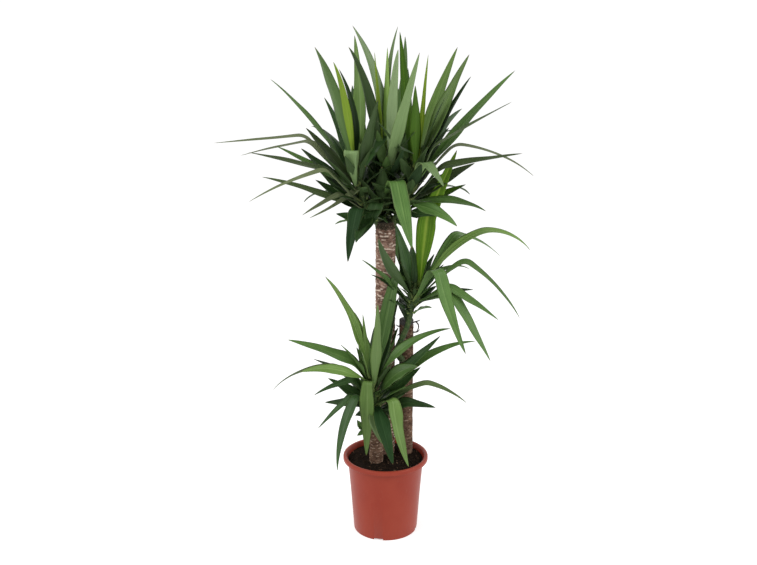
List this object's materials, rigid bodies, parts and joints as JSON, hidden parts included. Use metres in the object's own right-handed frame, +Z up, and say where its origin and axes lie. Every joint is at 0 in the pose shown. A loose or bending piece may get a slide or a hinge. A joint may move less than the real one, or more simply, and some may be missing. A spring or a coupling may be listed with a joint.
{
  "type": "potted yucca",
  "caption": "House plant with upright woody canes of stepped heights in a flower pot, topped by leafy shoots with long arching sword-shaped leaves.",
  "frame": {"origin": "centre of the pot's base, on the plane it stands on", "axes": "+Z up along the canes, +X towards the side of the middle-height cane, -Y towards the short cane, the side seen first"},
  "size_m": [0.8534, 0.5748, 1.4142],
  "materials": {
    "pot": "terracotta red, satin moulded plastic",
    "soil": "dark moist peat and bark compost, crumbly",
    "bark": "brown bark with pale leaf-scar rings, rough",
    "green_bark": "young green stem with old leaf bases, satin",
    "leaf": "living leathery leaf, satin green with fine lengthwise veins"
  },
  "bodies": {
    "root": {"pot": "pot", "soil": "soil", "cane_tall": "bark", "cane_middle": "bark", "cane_short": "bark", "shoot_left": "green_bark", "shoot_centre": "green_bark", "shoot_right": "green_bark", "shoot_middle": "green_bark", "shoot_short": "green_bark", "leaf_left_01": "leaf", "leaf_left_02": "leaf", "leaf_left_03": "leaf", "leaf_left_04": "leaf", "leaf_left_05": "leaf", "leaf_left_06": "leaf", "leaf_left_07": "leaf", "leaf_left_08": "leaf", "leaf_left_09": "leaf", "leaf_left_10": "leaf", "leaf_left_11": "leaf", "leaf_centre_01": "leaf", "leaf_centre_02": "leaf", "leaf_centre_03": "leaf", "leaf_centre_04": "leaf", "leaf_centre_05": "leaf", "leaf_centre_06": "leaf", "leaf_centre_07": "leaf", "leaf_right_01": "leaf", "leaf_right_02": "leaf", "leaf_right_03": "leaf", "leaf_right_04": "leaf", "leaf_right_05": "leaf", "leaf_right_06": "leaf", "leaf_right_07": "leaf", "leaf_right_08": "leaf", "leaf_right_09": "leaf", "leaf_right_10": "leaf", "leaf_middle_01": "leaf", "leaf_middle_02": "leaf", "leaf_middle_03": "leaf", "leaf_middle_04": "leaf", "leaf_middle_05": "leaf", "leaf_middle_06": "leaf", "leaf_middle_07": "leaf", "leaf_middle_08": "leaf", "leaf_short_01": "leaf", "leaf_short_02": "leaf", "leaf_short_03": "leaf", "leaf_short_04": "leaf", "leaf_short_05": "leaf", "leaf_short_06": "leaf", "leaf_short_07": "leaf", "leaf_short_08": "leaf", "leaf_short_09": "leaf", "leaf_short_10": "leaf", "leaf_short_11": "leaf", "leaf_short_12": "leaf"}
  },
  "joints": []
}
